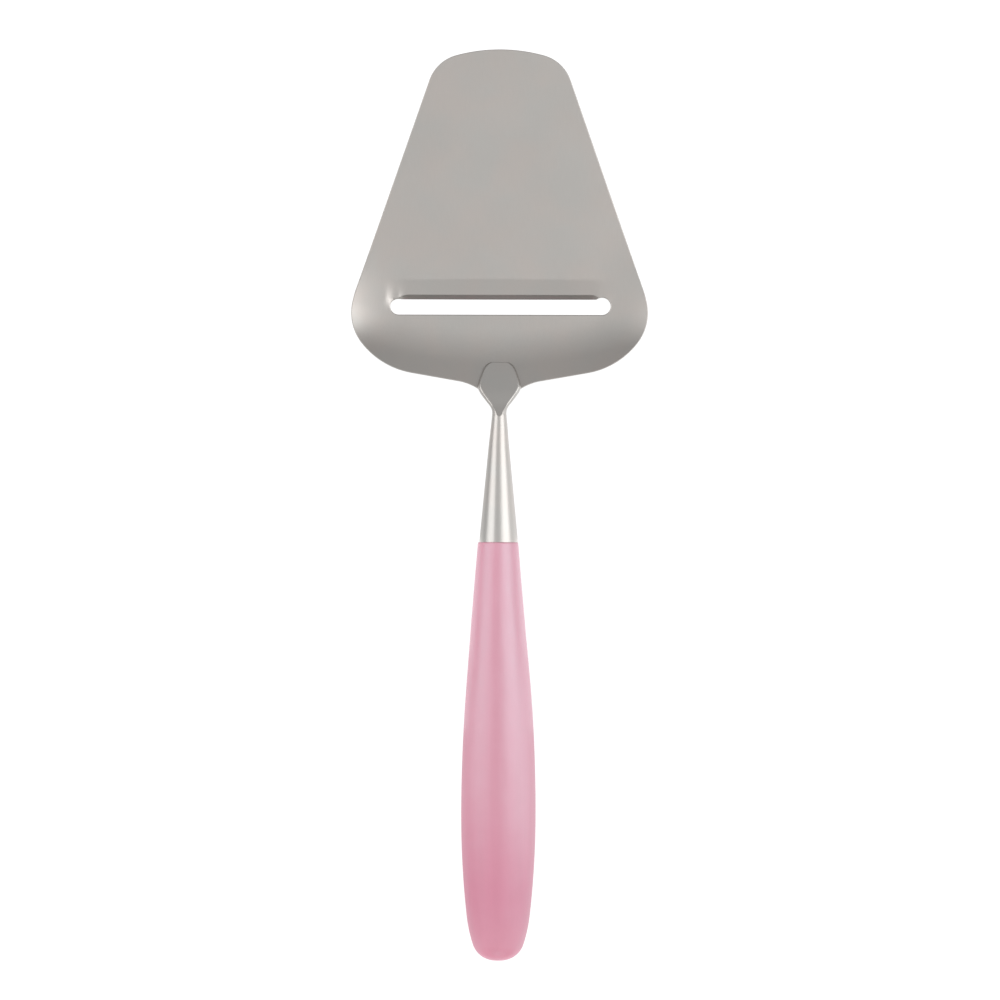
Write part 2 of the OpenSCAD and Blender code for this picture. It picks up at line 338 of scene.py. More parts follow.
def low_z(x, s):
    thick = BLADE_T / np.cos(heel_angle(x, s))
    slope = LIP_SLOPE * lip_fade(x, s) * ease((s - LIP_BEND0) / (LIP_BEND1 - LIP_BEND0)) * lip_back(x, s)
    z = sheet_z(x, s) - thick * np.sqrt(1 + slope ** 2)
    for ws in WELD_S:
        # shallow electrode marks under the weld
        r = np.hypot(x, s - ws)
        z = z + 0.08 * (1 - ease((r - 0.8) / 0.5)) - 0.02 * np.exp(-((r - 1.46) / 0.16) ** 2)
    return z


def bevel_line(x):
    return EDGE_S - BEVEL_LEN * bevel_k(x)


def field_points(outer, slot, fine_low):
    """Points inside the blade: an even net, and finer rows over the lip."""
    step = 0.95
    rows = []
    j = 0
    s = 0.6
    while s < 91.0:
        x = np.arange(-45, 45 + step, step) + (step / 2 if j % 2 else 0)
        rows.append(np.stack([x, np.full_like(x, s)], 1))
        s += step * 0.866
        j += 1
    net = np.vstack(rows)
    lip_zone = (np.abs(net[:, 0]) < 31.9) & (net[:, 1] > 60.1) & (net[:, 1] < EDGE_S + 0.2)
    net = net[~lip_zone]
    if fine_low:
        for ws in WELD_S:
            net = net[np.hypot(net[:, 0], net[:, 1] - ws) > 2.2]
    net = net[inside(outer, net)]
    net = net[~inside(slot, net)]
    net = net[(near(outer, net) > 0.55) & (near(slot, net) > 0.5)]
    fine = []
    xs = np.linspace(-31.6, 31.6, 145)
    for x in xs:
        line = float(bevel_line(np.array(x)))
        ground = (not fine_low) and abs(x) < 26.75 and line < EDGE_S - 0.22
        stop = line - 0.2 if ground else EDGE_S - 0.05
        n = max(2, int(round((stop - 60.3) / 0.3)))
        fine += [(x, 60.3 + (stop - 60.3) * i / n) for i in range(n + 1)]
        if ground:
            fine += [(x, line - 0.05), (x, line), (x, line + 0.05)]
            room = EDGE_S - 0.12 - (line + 0.05)
            if room > 0.35:
                fine += [(x, line + 0.05 + room * f) for f in (0.33, 0.67)]
    fine = np.array(fine)
    fine = fine[~inside(slot, fine)]
    fine = fine[near(slot, fine) > 0.13]
    extra = []
    if fine_low:
        for ws in WELD_S:
            for r, n in ((0.0, 1), (0.4, 7), (0.75, 12), (0.95, 16), (1.12, 20), (1.3, 24), (1.46, 26), (1.62, 28), (1.84, 28)):
                extra += [(r * math.cos(2 * math.pi * i / n + r), ws + r * math.sin(2 * math.pi * i / n + r)) for i in range(n)]
        extra = np.array(extra)
        # the two rings of marks meet in the middle
        keep = [i for i, p in enumerate(extra) if abs(p[1] - (WELD_S[0] + WELD_S[1]) / 2) > 0.12 or abs(p[0]) > 1.4]
        extra = extra[keep]
        mid = (WELD_S[0] + WELD_S[1]) / 2
        up = [p for p in extra if (p[1] < mid) == (np.hypot(p[0], p[1] - WELD_S[0]) <= np.hypot(p[0], p[1] - WELD_S[1]))]
        return np.vstack([net, fine, np.array(up)])
    return np.vstack([net, fine])


def triangulate(loops, field):
    """Constrained triangles between closed loops, over the loops' and field's points."""
    pts = np.vstack(loops + [field])
    edges, base = [], 0
    for lp in loops:
        m = len(lp)
        edges += [(base + i, base + (i + 1) % m) for i in range(m)]
        base += m
    out = delaunay_2d_cdt([Vector((float(p[0]), float(p[1]))) for p in pts], edges, [], 0, 1e-7, True)
    index = [o[0] if o else -1 for o in out[3]]
    tris = np.array([[index[i] for i in f] for f in out[2] if len(f) == 3])
    tris = tris[(tris >= 0).all(1)]
    mid = pts[tris].mean(1)
    keep = inside(loops[0], mid)
    for lp in loops[1:]:
        keep &= ~inside(lp, mid)
    tris = tris[keep]
    a, b, c = pts[tris[:, 0]], pts[tris[:, 1]], pts[tris[:, 2]]
    area = (b[:, 0] - a[:, 0]) * (c[:, 1] - a[:, 1]) - (b[:, 1] - a[:, 1]) * (c[:, 0] - a[:, 0])
    flip = area > 0
    tris[flip] = tris[flip][:, ::-1]
    return pts, tris[np.abs(area) > 1e-9]


def build_blade():
    op, on = blade_outline()
    sp, sn, sr = slot_outline()
    orad = np.full(len(op), 0.16)
    verts, faces, uvs = [], [], []
    sc = 1.0 / 196.0

    def uv_top(x, s):
        return (0.03 + (x + 41.0) * sc, 0.98 - (s + 2.0) * sc)

    def uv_low(x, s):
        return (0.51 + (x + 41.0) * sc, 0.98 - (s + 2.0) * sc)

    angles = [0.0, 22.5, 45.0, 67.5, 90.0]

    def rim(p, n, r, flip):
        """Rings over one edge of the sheet, from the upper face to the lower one.
        Returns the first and last ring's vertex numbers."""
        m = len(p)
        rings, plan = [], []
        for part in ("top", "low"):
            for k, a in enumerate(angles if part == "top" else angles[::-1]):
                a = math.radians(a)
                q = p - n * (r * (1 - math.sin(a)))[:, None]
                x, s = q[:, 0], q[:, 1]
                zt, zl = top_z(x, s), low_z(x, s)
                room = np.minimum(r, 0.42 * (zt - zl))
                z = zt - room * (1 - math.cos(a)) if part == "top" else zl + room * (1 - math.cos(a))
                start = len(verts)
                verts.extend(np.stack([x, yy(s), z], 1))
                rings.append(start)
                # the flattened pattern runs on outwards round the edge
                out = r * 0.4 * (k / 4 - 1) if part == "top" else 0.6 + r * 0.4 * k / 4
                e = p + n * np.broadcast_to(out, (m,))[:, None]
                plan.append(np.array([uv_top(c[0], c[1]) for c in e]))
        for i in range(len(rings) - 1):
            for j in range(m):
                k = (j + 1) % m
                quad = [(i, j), (i, k), (i + 1, k), (i + 1, j)]
                if flip:
                    quad.reverse()
                faces.append([rings[a] + b for a, b in quad])
                uvs.extend(plan[a][b] for a, b in quad)
        return rings[0], rings[-1]

    o_top, o_low = rim(op, on, orad, False)
    s_top, s_low = rim(sp, sn, sr, True)
    m_o, m_s = len(op), len(sp)
    top_outer, top_slot = op - on * orad[:, None], sp - sn * sr[:, None]

    for side in ("top", "low"):
        # a support row just inside each edge keeps the flats flat to the eye
        sup_o = op - on * (orad + 0.14)[:, None]
        field = field_points(op - on * (orad + 0.16)[:, None], sp - sn * (sr + 0.02)[:, None], side == "low")
        sup_s = sp - sn * (sr + 0.05)[:, None]
        field = np.vstack([sup_o, sup_s, field])
        pts, tris = triangulate([top_outer, top_slot], field)
        base = len(verts)
        extra = pts[m_o + m_s:]
        x, s = extra[:, 0], extra[:, 1]
        z = top_z(x, s) if side == "top" else low_z(x, s)
        verts.extend(np.stack([x, yy(s), z], 1))
        first_o, first_s = (o_top, s_top) if side == "top" else (o_low, s_low)
        number = np.concatenate([first_o + np.arange(m_o), first_s + np.arange(m_s), base + np.arange(len(extra))])
        uv = uv_top if side == "top" else uv_low
        plan = [uv(p[0], p[1]) for p in pts]
        for t in tris:
            t = list(t) if side == "top" else list(t[::-1])
            faces.append([int(number[i]) for i in t])
            uvs.extend(plan[i] for i in t)
    return make_object("blade_sheet", verts, faces, uvs)


# ----------------------------------------------------------------------------
# Shaft: paddle, neck, cone, shoulder and tang in one skin
# ----------------------------------------------------------------------------
SEAM_S = SHOULDER_S + SEAM
CONE_K = (SHOULDER_R - NECK_R) / (SEAM_S - NECK_S)


def cone_r(s):
    return SHOULDER_R - (SEAM_S - s) * CONE_K


FLAT_UP = PADDLE_T / math.cos(TILT)


def ease_area(v, w):
    """Area under an ease that takes w to rise to one."""
    u = min(max(v / w, 0.0), 1.0)
    return w * (u ** 3 - u ** 4 / 2) + max(v - w, 0.0)


def flat_z(s):
    """Height of the paddle's flat top: a touch shallower behind the blade, steeper at the neck."""
    return heel_top(s) + FLAT_UP - 0.03 * ease_area(s - 90.0, 2.0) + 0.05 * ease_area(s - 93.5, 2.0)


def run_out():
    """Station where the flat breaks out through the cone's top."""
    a, b = 94.0, 104.0
    for _ in range(50):
        m = (a + b) / 2
        a, b = (m, b) if flat_z(m) < AXIS_Z + cone_r(m) else (a, m)
    return a


RUN_OUT = run_out()
TONGUE_S = 91.25

PADDLE_W = [(0.0, 2.5), (0.15, 2.8), (0.35, 3.15), (0.7, 3.57), (1.2, 3.98), (2.0, 4.4), (3.0, 4.77), (4.0, 5.12),
            (5.0, 5.44), (5.7, 5.63), (6.2, 5.72), (6.6, 5.73), (7.0, 5.62), (7.5, 5.43), (8.0, 5.16), (8.75, 4.67),
            (9.5, 4.12), (10.2, 3.59), (10.8, 3.12), (11.3, 2.72), (11.8, 2.37), (12.3, 2.11), (12.9, 1.93), (13.4, 1.87)]


def smooth_table(table, at):
    """Smooth curve through a short table of listed stations."""
    t = np.array(table)
    x, y = t[:, 0], t[:, 1]
    d = np.diff(y) / np.diff(x)
    m = np.concatenate([[d[0]], (d[1:] + d[:-1]) / 2, [d[-1]]])
    i = np.clip(np.searchsorted(x, at) - 1, 0, len(x) - 2)
    h = x[i + 1] - x[i]
    u = (at - x[i]) / h
    return ((2 * u ** 3 - 3 * u ** 2 + 1) * y[i] + (u ** 3 - 2 * u ** 2 + u) * h * m[i]
            + (-2 * u ** 3 + 3 * u ** 2) * y[i + 1] + (u ** 3 - u ** 2) * h * m[i + 1])


SPREAD = (0.97, 0.62, 0.22, -0.22, -0.62, -0.97)


def shaft_section(s, q):
    """One closed section of [x, z] points at a station of the paddle, neck or cone."""
    d = s - PADDLE_S
    part = np.concatenate([np.linspace(0, 0.975, q), [1.0]])
    if s >= RUN_OUT:
        # round: the points that made the flat spread over the crown
        w = cone_r(s)
        gap = math.radians(3.5 + 11.0 * float(ease((s - RUN_OUT) / 2.5)))
        a = part * (math.pi / 2 - gap)
        top = [(w * math.cos(v), w * math.sin(v)) for v in a]
        crown = [(w * math.sin(gap * f), w * math.cos(gap * f)) for f in SPREAD]
        ring = top + crown + [(-x, z) for x, z in reversed(top)]
        ring += [(-x, -z) for x, z in top[1:]] + [(-x, -z) for x, z in crown] + [(x, -z) for x, z in reversed(top[1:])]
        return [(x, AXIS_Z + z) for x, z in ring]
    w = float(smooth_table(PADDLE_W, min(d, 13.4)))
    if d > 13.4:
        w = max(1.87, cone_r(s))
    zt = flat_z(s)
    k = float(ease((s - TONGUE_S - 0.3) / (RUN_OUT - TONGUE_S - 0.3)))
    zb = heel_top(s) * (1 - k) + (AXIS_Z - cone_r(s)) * k
    zm = (zb + 0.12 * (zt - zb)) * (1 - k) + AXIS_Z * k
    # the flat: set in from the paddle's edge, then the chord it cuts off the neck
    near_neck = float(ease((s - 93.6) / 1.7))
    chord = math.sqrt(max(0.0, w ** 2 - max(zt - AXIS_Z, 0.0) ** 2)) * (1 - 0.2 * float(ease((RUN_OUT - s) / 1.2)))
    band = 0.7 + (PADDLE_ROUND - 0.7) * float(ease((s - 87.5) / 3.0)) - 0.2 * float(ease((s - 93.0) / 2.0))
    c = max(0.12, (w - band) * (1 - near_neck) + chord * near_neck)
    cb = max(0.12, (w - PADDLE_T * 0.45) * (1 - k))
    zt_edge = zt
    if d < NOSE_R:
        zt_edge = zt - NOSE_R * (1 - math.sqrt(1 - ((NOSE_R - d) / NOSE_R) ** 2))
    up, dn = zt_edge - zm, zm - zb
    full = math.acos(min(1.0, c / w))
    rise = up / math.sin(full)
    top = []
    for v in part:
        soft = (c + (w - c) * math.cos(v * math.pi / 2), up * math.sin(v * math.pi / 2))
        cut = (w * math.cos(v * full), rise * math.sin(v * full))
        top.append(tuple(m * (1 - near_neck) + n * near_neck for m, n in zip(soft, cut)))
    flat = [(c * f, up) for f in SPREAD]
    low = [(cb + (w - cb) * math.cos(v * math.pi / 2), -dn * math.sin(v * math.pi / 2)) for v in part]
    flat_low = [(-cb * f, -dn) for f in SPREAD]
    ring = top + flat + [(-x, z) for x, z in reversed(top)]
    ring += [(-x, z) for x, z in low[1:]] + flat_low + [(x, z) for x, z in reversed(low[1:])]
    return [(x, zm + z) for x, z in ring]


PADDLE_ROUND, NOSE_R = 1.05, 0.09


def build_shaft():
    q = 18
    st = [PADDLE_S + d for d in (0, 0.005, 0.016, 0.034, 0.058, 0.09, 0.18, 0.36, 0.5, 0.7, 0.9, 1.15, 1.5)]
    st += list(np.arange(PADDLE_S + 1.9, RUN_OUT - 1.2, 0.25))
    st += [RUN_OUT - v for v in (1.1, 0.9, 0.7, 0.5, 0.35, 0.22, 0.12, 0.04)]
    st += [RUN_OUT + v for v in (0.0, 0.08, 0.25, 0.5, 0.8, 1.2, 1.7, 2.3)]
    st += list(np.arange(RUN_OUT + 3.0, SHOULDER_S - 0.6, 1.2))
    rings = [(s, shaft_section(s, q)) for s in st]
    # a support ring on the blunt front keeps its edge crisp
    s0, front = rings[0]
    fz = sum(z for _, z in front) / len(front)
    rings.insert(0, (s0, [(x * 0.94, fz + (z - fz) * 0.94) for x, z in front]))

    def round_ring(s, r):
        sec = shaft_section(SHOULDER_S - 1.0, q)
        f = r / cone_r(SHOULDER_S - 1.0)
        return (s, [(x * f, AXIS_Z + (z - AXIS_Z) * f) for x, z in sec])

    lathe = [(SEAM_S - 0.35, cone_r(SEAM_S - 0.35)), (SEAM_S - 0.06, cone_r(SEAM_S - 0.06)),
             (SEAM_S - 0.01, SHOULDER_R - 0.006), (SEAM_S, SHOULDER_R - 0.016), (SEAM_S, 4.6),
             (SEAM_S, 3.9), (SHOULDER_S, 3.4), (SHOULDER_S, 2.6), (SHOULDER_S + 0.1, TANG_R)]
    g0, gp, gd = TANG_LEN * 0.2, TANG_LEN * 0.7 / TANG_GROOVES, 0.45
    for i in range(TANG_GROOVES):
        u = SHOULDER_S + g0 + gp * i
        lathe += [(u, TANG_R), (u + 0.45, TANG_R - gd), (u + 1.6, TANG_R - gd), (u + 2.05, TANG_R)]
    lathe += [(SHOULDER_S + TANG_LEN - 0.8, TANG_R), (SHOULDER_S + TANG_LEN, TANG_R - 0.8)]
    rings += [round_ring(s, r) for s, r in lathe]

    m = len(rings[0][1])
    verts, faces, uvs = [], [], []
    along = [0.0]
    for (s0, r0), (s1, r1) in zip(rings, rings[1:]):
        along.append(along[-1] + math.hypot(s1 - s0, max(x for x, _ in r1) - max(x for x, _ in r0)))
    for s, sec in rings:
        # the cone runs a hair off the middle, the tang does not
        seen = s < SHOULDER_S - 1.0 or max(x for x, _ in sec) > 3.5
        off = -0.095 * float(ease((s - 98.0) / 8.0)) if seen else 0.0
        verts += [(x + off, yy(s), z) for x, z in sec]
    for i in range(len(rings) - 1):
        v0, v1 = along[i] / along[-1], along[i + 1] / along[-1]
        for j in range(m):
            k = (j + 1) % m
            faces.append([i * m + j, i * m + k, (i + 1) * m + k, (i + 1) * m + j])
            a, b = j / m, (j + 1) / m
            uvs += [(0.02 + 0.30 * a, 0.02 + 0.96 * v0), (0.02 + 0.30 * b, 0.02 + 0.96 * v0),
                    (0.02 + 0.30 * b, 0.02 + 0.96 * v1), (0.02 + 0.30 * a, 0.02 + 0.96 * v1)]
    n = len(rings)
    for i, order, cx in ((0, -1, 0.5), (n - 1, 1, 0.8)):
        ring = list(range(m))[::order]
        sec = rings[i][1]
        cz = sum(z for _, z in sec) / m
        verts.append((0.0, yy(rings[i][0]), cz))
        c = len(verts) - 1
        for a, b in zip(ring, ring[1:] + ring[:1]):
            faces.append([i * m + a, i * m + b, c])
            uvs += [(cx + 0.02 * sec[a][0], 0.5 + 0.02 * (sec[a][1] - cz)),
                    (cx + 0.02 * sec[b][0], 0.5 + 0.02 * (sec[b][1] - cz)), (cx, 0.5)]
    return make_object("forged_shaft", verts, faces, uvs)


# ----------------------------------------------------------------------------
# Handle: turned, with its blind bore
# ----------------------------------------------------------------------------
def build_handle():
    seg = 144
    prof = [(TANG_LEN + POOL_LEN, 0.0), (TANG_LEN + POOL_LEN, BORE_R * 0.5), (TANG_LEN + POOL_LEN, BORE_R)]
    prof += [(TANG_LEN + POOL_LEN - (TANG_LEN + POOL_LEN - 0.3) * i / 8, BORE_R) for i in range(1, 9)]
    prof += [(0.0, BORE_R + 0.3), (0.0, 3.4), (SEAM, 3.9)]
    skin = len(prof)
    prof.append((SEAM, 4.6))
    # the rim's edge is eased into the taper
    uc = SEAM + RIM_ROUND
    rc = RIM_R + uc * math.tan(TAPER) - RIM_ROUND / math.cos(TAPER)
    for i in range(11):
        a = (math.pi / 2 - TAPER) * i / 10
        prof.append((uc - RIM_ROUND * math.cos(a), rc + RIM_ROUND * math.sin(a)))
    prof.append((uc + 0.15, RIM_R + (uc + 0.15) * math.tan(TAPER)))
    body = PROFILE[PROFILE[:, 0] > uc + 0.4]
    prof += [(float(u), float(r)) for u, r in body]
    verts, faces, uvs = [], [], []
    starts = []
    for i, (u, r) in enumerate(prof):
        starts.append(len(verts))
        # the turned skin runs a hair off the bore's line at the rim
        off = -0.25 * (1 - float(ease((u - 8.0) / 42.0))) if i >= skin else 0.0
        if r < 1e-6:
            verts.append((0.0, yy(SHOULDER_S + u), AXIS_Z))
        else:
            # seam underneath
            for j in range(seg):
                a = -math.pi / 2 + 2 * math.pi * j / seg
                verts.append((off + r * math.cos(a), yy(SHOULDER_S + u), AXIS_Z + r * math.sin(a)))
    along = [0.0]
    for (u0, r0), (u1, r1) in zip(prof, prof[1:]):
        along.append(along[-1] + math.hypot(u1 - u0, r1 - r0))
    last = len(prof) - 1
    for i in range(last):
        v0, v1 = 0.01 + 0.98 * along[i] / along[-1], 0.01 + 0.98 * along[i + 1] / along[-1]
        for j in range(seg):
            k = (j + 1) % seg
            a, b = 0.01 + 0.4 * j / seg, 0.01 + 0.4 * (j + 1) / seg
            if prof[i][1] < 1e-6:
                faces.append([starts[i], starts[i + 1] + k, starts[i + 1] + j])
                uvs += [((a + b) / 2, v0), (b, v1), (a, v1)]
            elif prof[i + 1][1] < 1e-6:
                faces.append([starts[i] + j, starts[i] + k, starts[i + 1]])
                uvs += [(a, v0), (b, v0), ((a + b) / 2, v1)]
            else:
                faces.append([starts[i] + j, starts[i] + k, starts[i + 1] + k, starts[i + 1] + j])
                uvs += [(a, v0), (b, v0), (b, v1), (a, v1)]
    return make_object("turned_handle", verts, faces, uvs)


# ----------------------------------------------------------------------------
# Materials
# ----------------------------------------------------------------------------
class Mat:
    def __init__(self, name):
        self.m = bpy.data.materials.new(name)
        self.m.use_nodes = True
        self.t = self.m.node_tree
        self.b = next(n for n in self.t.nodes if n.type == "BSDF_PRINCIPLED")

    def node(self, kind, **kw):
        n = self.t.nodes.new(kind)
        for k, v in kw.items():
            if k == "ins":
                for a, b in v.items():
                    n.inputs[a].default_value = b
            else:
                setattr(n, k, v)
        return n

    def link(self, a, b):
        self.t.links.new(a, b)

    def coords(self, scale=(1, 1, 1), rot=(0, 0, 0)):
        tc = self.node("ShaderNodeTexCoord")
        mp = self.node("ShaderNodeMapping", ins={"Scale": scale, "Rotation": rot})
        self.link(tc.outputs["Object"], mp.inputs["Vector"])
        return mp.outputs["Vector"]

    def noise(self, vec, scale, detail=3.0, rough=0.5, dist=0.0):
        n = self.node("ShaderNodeTexNoise", ins={"Scale": scale, "Detail": detail, "Roughness": rough, "Distortion": dist})
        self.link(vec, n.inputs["Vector"])
        return n.outputs["Fac"]

    def span(self, fac, lo, hi, f0=0.0, f1=1.0):
        n = self.node("ShaderNodeMapRange", ins={"From Min": f0, "From Max": f1, "To Min": lo, "To Max": hi})
        self.link(fac, n.inputs["Value"])
        return n.outputs["Result"]

    def math(self, op, a, b):
        n = self.node("ShaderNodeMath", operation=op)
        for i, v in enumerate((a, b)):
            if isinstance(v, (int, float)):
                n.inputs[i].default_value = v
            else:
                self.link(v, n.inputs[i])
        return n.outputs[0]

    def mix(self, fac, a, b, mode="MIX"):
        n = self.node("ShaderNodeMix", data_type="RGBA", blend_type=mode)
        for i, v in ((0, fac), (6, a), (7, b)):
            if isinstance(v, (int, float, tuple)):
                n.inputs[i].default_value = v
            else:
                self.link(v, n.inputs[i])
        return n.outputs[2]

    def bump(self, height, strength, distance, prev=None):
        n = self.node("ShaderNodeBump", ins={"Strength": strength, "Distance": distance})
        self.link(height, n.inputs["Height"])
        if prev is not None:
            self.link(prev, n.inputs["Normal"])
        return n.outputs["Normal"]


def steel(name, base, rough, lines=1.0, along="y"):
    """Fine satin steel: long faint grinding lines, soft clouding, slight warm and cool tints."""
    m = Mat(name)
    stretch = (5200.0, 260.0, 5200.0) if along == "y" else (260.0, 5200.0, 5200.0)
    fine = m.noise(m.coords(stretch), 1.0, 2.0, 0.55)
    cloud = m.noise(m.coords((1, 1, 1)), 46.0, 3.0, 0.5)
    tint = m.noise(m.coords((1, 1, 1)), 90.0, 2.0, 0.5, 0.3)
    warm = tuple(c * f for c, f in zip(base, (1.018, 0.996, 0.988))) + (1.0,)
    cool = tuple(c * f for c, f in zip(base, (0.988, 1.002, 1.004))) + (1.0,)
    col = m.mix(m.span(tint, 0.0, 1.0, 0.35, 0.65), cool, warm)
    shade = m.span(cloud, 0.985, 1.015, 0.3, 0.7)
    streak = m.span(fine, 1.0 - 0.012 * lines, 1.0 + 0.012 * lines, 0.3, 0.7)
    grey = m.node("ShaderNodeCombineColor")
    both = m.math("MULTIPLY", shade, streak)
    for i in range(3):
        m.link(both, grey.inputs[i])
    col = m.mix(1.0, col, grey.outputs[0], "MULTIPLY")
    m.link(col, m.b.inputs["Base Color"])
    r = m.math("ADD", m.span(fine, -0.02 * lines, 0.02 * lines, 0.3, 0.7), m.span(cloud, rough - 0.015, rough + 0.015, 0.3, 0.7))
    m.link(r, m.b.inputs["Roughness"])
    m.link(m.bump(fine, 0.10 * lines, 0.00002), m.b.inputs["Normal"])
    m.b.inputs["Metallic"].default_value = 1.0
    return m.m


def weld_steel():
    m = Mat("weld_metal")
    n = m.noise(m.coords(), 900.0, 4.0, 0.6)
    col = m.mix(m.span(n, 0, 1, 0.3, 0.7), (0.30, 0.27, 0.25, 1), (0.46, 0.44, 0.43, 1))
    m.link(col, m.b.inputs["Base Color"])
    m.link(m.span(n, 0.38, 0.55, 0.3, 0.7), m.b.inputs["Roughness"])
    m.link(m.bump(n, 0.3, 0.0001), m.b.inputs["Normal"])
    m.b.inputs["Metallic"].default_value = 1.0
    return m.m


def resin():
    m = Mat("cured_resin")
    n = m.noise(m.coords(), 420.0, 3.0, 0.5)
    col = m.mix(m.span(n, 0, 1, 0.3, 0.7), (0.62, 0.48, 0.26, 1), (0.74, 0.60, 0.36, 1))
    m.link(col, m.b.inputs["Base Color"])
    m.link(m.span(n, 0.3, 0.42, 0.3, 0.7), m.b.inputs["Roughness"])
    m.link(m.bump(n, 0.2, 0.0001), m.b.inputs["Normal"])
    return m.m


PINK = (0.666, 0.183, 0.276)


def paint():
    """Satin paint over turned wood: faint lengthwise grain, soft mottle, even colour but for a painted shade towards
    the butt.
    """
    m = Mat("satin_pink_paint")
    grain = m.noise(m.coords((520.0, 16.0, 520.0)), 1.0, 3.0, 0.6, 0.2)
    broad = m.noise(m.coords((150.0, 9.0, 150.0)), 1.0, 2.0, 0.5, 0.4)
    mottle = m.noise(m.coords(), 260.0, 3.0, 0.55)
    speck = m.noise(m.coords(), 1500.0, 2.0, 0.5)
    light = tuple(c * f for c, f in zip(PINK, (1.03, 1.05, 1.05))) + (1.0,)
    deep = tuple(c * f for c, f in zip(PINK, (0.97, 0.95, 0.955))) + (1.0,)
    f = m.math("ADD", m.math("MULTIPLY", grain, 0.35), m.math("MULTIPLY", broad, 0.35))
    f = m.math("ADD", f, m.math("MULTIPLY", mottle, 0.3))
    col = m.mix(m.span(f, 0.0, 1.0, 0.36, 0.64), deep, light)
    cool = m.mix(m.span(mottle, 0.0, 0.22, 0.5, 0.75), col, (0.634, 0.213, 0.297, 1.0))
    # painted shade: the colour is darkened towards the butt, where the handle turns away from the light, and eases back
    # at the very end
    sep = m.node("ShaderNodeSeparateXYZ")
    m.link(m.coords(), sep.inputs[0])
    painted_butt_shade = m.math("MULTIPLY", m.span(sep.outputs[1], 0.0, 1.0, -0.076, -0.100), m.span(sep.outputs[1], 1.0, 0.0, -0.104, -0.116))
    cool = m.mix(painted_butt_shade, cool, (0.97, 0.76, 0.87, 1.0), "MULTIPLY")
    m.link(cool, m.b.inputs["Base Color"])
    r = m.math("ADD", m.span(mottle, 0.375, 0.435, 0.3, 0.7), m.span(grain, -0.02, 0.02, 0.3, 0.7))
    m.link(r, m.b.inputs["Roughness"])
    # brushed-on coats never lie quite even
    wave = m.noise(m.coords((220.0, 110.0, 220.0)), 1.0, 1.0, 0.4)
    nrm = m.bump(wave, 0.8, 0.00018)
    nrm = m.bump(grain, 0.16, 0.00006, nrm)
    nrm = m.bump(speck, 0.05, 0.00003, nrm)
    m.link(nrm, m.b.inputs["Normal"])
    m.b.inputs["Specular IOR Level"].default_value = 1.0
    m.b.inputs["Specular Tint"].default_value = (0.5, 1.0, 1.0, 1.0)
    m.b.inputs["IOR"].default_value = 1.95
    return m.m


# ----------------------------------------------------------------------------
# Build the pieces
# ----------------------------------------------------------------------------
def put(ob, mat, node):
    ob.data.materials.clear()
    ob.data.materials.append(mat)
    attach(ob, "root")
    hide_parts(node)


blade = build_blade()
shaft = build_shaft()
handle = build_handle()
put(blade, steel("blade_satin_steel", (0.559, 0.534, 0.509), 0.34), "blade")
put(shaft, steel("shaft_satin_steel", (0.578, 0.557, 0.534), 0.36, 0.3), "shaft")
put(handle, paint(), "handle")
for name, mat in (("spot_welds", weld_steel()), ("tang_adhesive", resin())):
    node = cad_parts[name]
    if not node.data.materials:
        node.data.materials.append(mat)
    for i in range(len(node.material_slots)):
        node.material_slots[i].material = mat

# ----------------------------------------------------------------------------
# Stage, light and camera
# ----------------------------------------------------------------------------
floor_me = bpy.data.meshes.new("floor")
R = 4.0
floor_me.from_pydata([(R * math.cos(2 * math.pi * i / 64), R * math.sin(2 * math.pi * i / 64), -0.0002) for i in range(64)],
                     [], [list(range(64))])
floor = bpy.data.objects.new("floor", floor_me)
bpy.context.scene.collection.objects.link(floor)
fm = Mat("pale_floor")
fn = fm.noise(fm.coords(), 3.0, 2.0, 0.5)
fm.link(fm.mix(fn, (0.15, 0.15, 0.15, 1), (0.16, 0.16, 0.16, 1)), fm.b.inputs["Base Color"])
fm.b.inputs["Roughness"].default_value = 0.9
fm.b.inputs["Specular IOR Level"].default_value = 0.1
# a light table: it glows a little, so it keeps an even white under the tool
fm.b.inputs["Emission Color"].default_value = (1.0, 1.0, 1.0, 1.0)
fm.b.inputs["Emission Strength"].default_value = 0.94
floor.visible_glossy = False
floor_me.materials.append(fm.m)


def softbox(name, angle, dist, across, along, shift, radiance, axis="x", glossy=True, diffuse=True):
    """A rectangle of light, leaning from straight up towards +x or +y, facing the tool."""
    li = bpy.data.lights.new(name, "AREA")
    li.shape = "RECTANGLE"
    li.size, li.size_y = across, along
    # a flat lamp's own brightness is its power over its area and pi
    li.energy = radiance * math.pi * across * along
    ob = bpy.data.objects.new(name, li)
    a = math.radians(angle)
    if axis == "x":
        ob.location = (dist * math.sin(a), shift, dist * math.cos(a))
        ob.rotation_euler = (0.0, a, 0.0)
    else:
        ob.location = (shift, dist * math.sin(a), dist * math.cos(a))
        ob.rotation_euler = (-a, 0.0, 0.0)
    ob.visible_camera = False
    ob.visible_glossy = glossy
    ob.visible_diffuse = diffuse
    bpy.context.scene.collection.objects.link(ob)
    return ob


softbox("softbox_right", 44.5, 2.0, 1.97, 1.00, 0.40, 1.61, diffuse=False)
softbox("softbox_left", -52.6, 2.0, 1.74, 1.00, 0.49, 1.35, diffuse=False)
softbox("fill_top", 40.0, 1.0, 1.0, 0.9, 0.0, 1.96, axis="y", glossy=False)
softbox("fill_right", 72.0, 2.0, 1.6, 1.6, 0.5, 1.0, glossy=False)
softbox("fill_left", -72.0, 2.0, 1.6, 1.6, 0.5, 1.5, glossy=False)
softbox("fill_back", -87.0, 2.0, 1.2, 1.2, 0.0, 8.2, axis="y", glossy=False)


def card(name, place, turned, across, along, radiance):
    """A small reflector close to the handle, seen only in its gloss."""
    ob = softbox(name, 0.0, 1.0, across, along, 0.0, radiance, diffuse=False)
    ob.location = place
    ob.rotation_euler = turned


